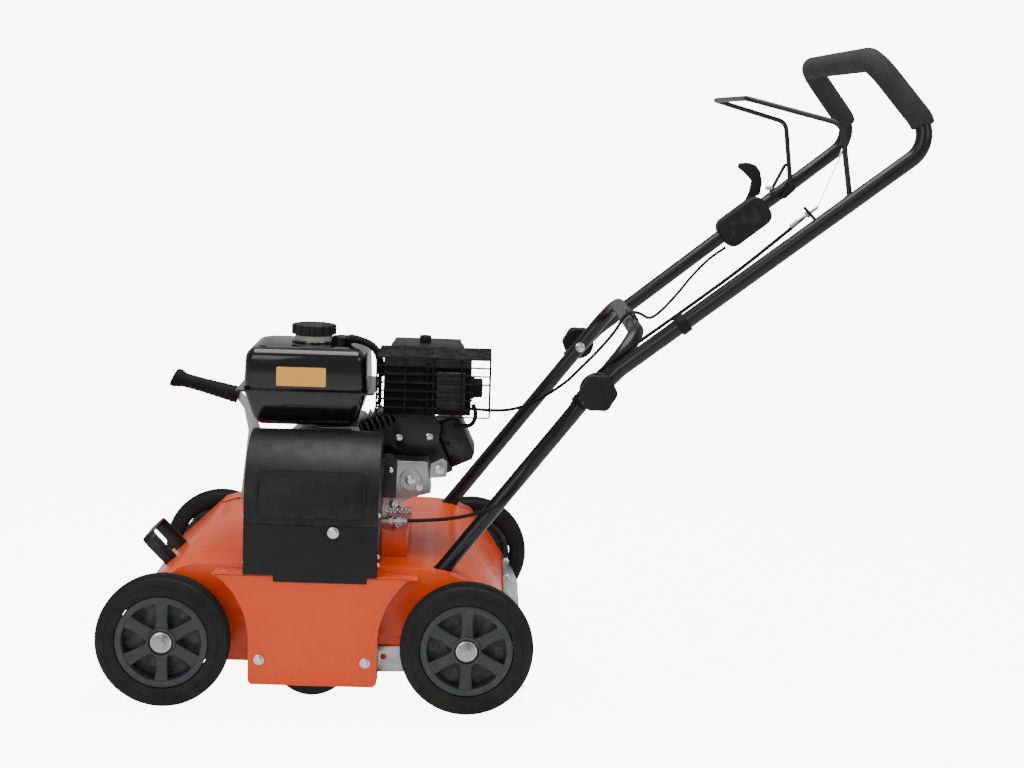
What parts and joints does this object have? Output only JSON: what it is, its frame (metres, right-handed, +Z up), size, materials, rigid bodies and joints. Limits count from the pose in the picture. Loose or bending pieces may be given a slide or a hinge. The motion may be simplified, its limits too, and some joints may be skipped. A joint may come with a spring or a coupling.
{
  "type": "lawn scarifier",
  "caption": "Petrol lawn scarifier on rolling wheels: bladed rotor under a steel hood, belt drive, engine with tank and silencer, folding handle with bail and throttle.",
  "frame": {"origin": "on the ground, under the middle of the machine's length and width", "axes": "+Z up, -Y the way the machine drives, +Y towards the user's grip, +X the belt side"},
  "size_m": [0.6586, 1.2034, 1.0052],
  "materials": {
    "orange_paint": "glossy powder coat",
    "tank_gloss": "glossy black",
    "black_plastic": "satin moulded",
    "black_paint": "satin paint",
    "rubber": "matte",
    "tyre": "matte, fine ribs",
    "rim_plastic": "moulded",
    "galvanised": "zinc plated",
    "steel": "machined",
    "aluminium": "cast"
  },
  "bodies": {
    "chassis": {"deck_hood": "orange_paint", "side_plate_left": "orange_paint", "side_plate_right": "orange_paint", "engine_plate": "orange_paint", "belt_side_cover": "orange_paint", "fuel_tank": "tank_gloss", "air_filter_box": "black_plastic", "recoil_housing": "black_plastic", "belt_cover_lower": "black_plastic", "belt_cover_upper": "black_plastic", "front_handle": "black_paint", "rocker_cover": "black_paint", "exhaust_flange": "black_paint", "muffler": "black_paint", "muffler_guard": "black_paint", "lower_handle": "black_paint", "drive_belt": "rubber", "spark_plug_cap": "rubber", "clutch_cable": "rubber", "throttle_cable": "rubber", "rear_deflector": "galvanised", "axle_bracket_left": "galvanised", "axle_bracket_right": "galvanised", "depth_quadrant": "galvanised", "rear_axle": "steel", "rotor_bearing_left": "steel", "rotor_bearing_right": "steel", "crankcase": "aluminium", "crankcase_cover": "aluminium", "cylinder_block": "aluminium", "carburettor": "aluminium"},
    "front_axle": {"front_axle": "steel", "depth_lever": "galvanised", "depth_grip": "rubber"},
    "wheel_front_left": {"tyre_front_left": "tyre", "rim_front_left": "rim_plastic"},
    "wheel_front_right": {"tyre_front_right": "tyre", "rim_front_right": "rim_plastic"},
    "wheel_rear_left": {"tyre_rear_left": "tyre", "rim_rear_left": "rim_plastic"},
    "wheel_rear_right": {"tyre_rear_right": "tyre", "rim_rear_right": "rim_plastic"},
    "rotor": {"rotor_shaft": "steel", "rotor_blades": "steel", "rotor_pulley": "black_plastic"},
    "drive_pulley": {"drive_pulley": "steel"},
    "idler_arm": {"idler_arm": "galvanised"},
    "idler_pulley": {"idler_pulley": "black_plastic"},
    "upper_handle": {"upper_handle": "black_paint", "grip_foam": "rubber", "throttle_housing": "black_plastic"},
    "star_knob_left": {"star_knob_left": "black_plastic"},
    "star_knob_right": {"star_knob_right": "black_plastic"},
    "bail": {"bail": "black_paint"},
    "throttle_lever": {"throttle_lever": "black_plastic"},
    "fuel_cap": {"fuel_cap": "black_plastic"},
    "air_filter_knob": {"air_filter_knob": "black_plastic"},
    "choke_lever": {"choke_lever": "black_plastic"},
    "starter_grip": {"starter_grip": "black_plastic"},
    "oil_filler_cap": {"oil_filler_cap": "rim_plastic"}
  },
  "joints": [
    {"name": "depth_setting", "type": "hinge", "parent": "chassis", "child": "front_axle", "pos_m": [0, -0.4405, 0.135], "axis": [1, 0, 0], "range_deg": [-20, 0]},
    {"name": "wheel_front_left_spin", "type": "hinge", "parent": "front_axle", "child": "wheel_front_left", "pos_m": [0.3035, -0.5017, 0.1], "axis": [1, 0, 0], "continuous": true},
    {"name": "wheel_front_right_spin", "type": "hinge", "parent": "front_axle", "child": "wheel_front_right", "pos_m": [-0.3035, -0.5017, 0.1], "axis": [1, 0, 0], "continuous": true},
    {"name": "wheel_rear_left_spin", "type": "hinge", "parent": "chassis", "child": "wheel_rear_left", "pos_m": [0.3035, -0.0493, 0.1], "axis": [1, 0, 0], "continuous": true},
    {"name": "wheel_rear_right_spin", "type": "hinge", "parent": "chassis", "child": "wheel_rear_right", "pos_m": [-0.3035, -0.0493, 0.1], "axis": [1, 0, 0], "continuous": true},
    {"name": "rotor_spin", "type": "hinge", "parent": "chassis", "child": "rotor", "pos_m": [0, -0.2825, 0.072], "axis": [1, 0, 0], "continuous": true},
    {"name": "drive_pulley_spin", "type": "hinge", "parent": "chassis", "child": "drive_pulley", "pos_m": [0.2735, -0.2688, 0.3185], "axis": [1, 0, 0], "continuous": true},
    {"name": "handle_fold", "type": "hinge", "parent": "chassis", "child": "upper_handle", "pos_m": [0, 0.1315, 0.491], "axis": [1, 0, 0], "range_deg": [-70, 90], "deforming": ["clutch_cable", "throttle_cable"]},
    {"name": "star_knob_left_turn", "type": "hinge", "parent": "upper_handle", "child": "star_knob_left", "pos_m": [0.2733, 0.1315, 0.491], "axis": [1, 0, 0], "continuous": true},
    {"name": "star_knob_right_turn", "type": "hinge", "parent": "upper_handle", "child": "star_knob_right", "pos_m": [-0.2733, 0.1315, 0.491], "axis": [1, 0, 0], "continuous": true},
    {"name": "bail_squeeze", "type": "hinge", "parent": "upper_handle", "child": "bail", "pos_m": [0, 0.4915, 0.782], "axis": [1, 0, 0], "range_deg": [-44, 0], "stiffness_Nm_per_rad": 0.4, "springref_deg": 34.38},
    {"name": "idler_swing", "type": "hinge", "parent": "chassis", "child": "idler_arm", "pos_m": [0.2618, -0.1955, 0.105], "axis": [1, 0, 0], "range_deg": [0, 10.25]},
    {"name": "idler_pulley_spin", "type": "hinge", "parent": "idler_arm", "child": "idler_pulley", "pos_m": [0.2735, -0.203, 0.165], "axis": [1, 0, 0], "continuous": true},
    {"name": "throttle_turn", "type": "hinge", "parent": "upper_handle", "child": "throttle_lever", "pos_m": [-0.29773, 0.41776, 0.73114], "axis": [1, 0, 0], "range_deg": [-30, 25]},
    {"name": "fuel_cap_turn", "type": "hinge", "parent": "chassis", "child": "fuel_cap", "pos_m": [0.11, -0.3032, 0.5413], "axis": [0, 0, 1], "range_deg": [0, 90]},
    {"name": "air_filter_knob_turn", "type": "hinge", "parent": "chassis", "child": "air_filter_knob", "pos_m": [0, -0.1325, 0.5168], "axis": [0, 0, 1], "continuous": true},
    {"name": "choke_swing", "type": "hinge", "parent": "chassis", "child": "choke_lever", "pos_m": [-0.039, -0.1428, 0.4085], "axis": [1, 0, 0], "range_deg": [-12, 12]},
    {"name": "starter_pull", "type": "slide", "parent": "chassis", "child": "starter_grip", "axis": [0, 0.9063, 0.4226], "range_m": [0, 0.45], "stiffness_N_per_m": 6, "springref_m": -0.25},
    {"name": "oil_filler_cap_turn", "type": "hinge", "parent": "chassis", "child": "oil_filler_cap", "pos_m": [0.12, -0.3695, 0.2885], "axis": [0, 1, 0], "continuous": true}
  ],
  "couplings": [
    {"joint": "drive_pulley_spin", "follows": "rotor_spin", "ratio": 1.5538},
    {"joint": "idler_pulley_spin", "follows": "rotor_spin", "ratio": -3.1563},
    {"joint": "idler_swing", "follows": "bail_squeeze", "ratio": -0.232}
  ]
}
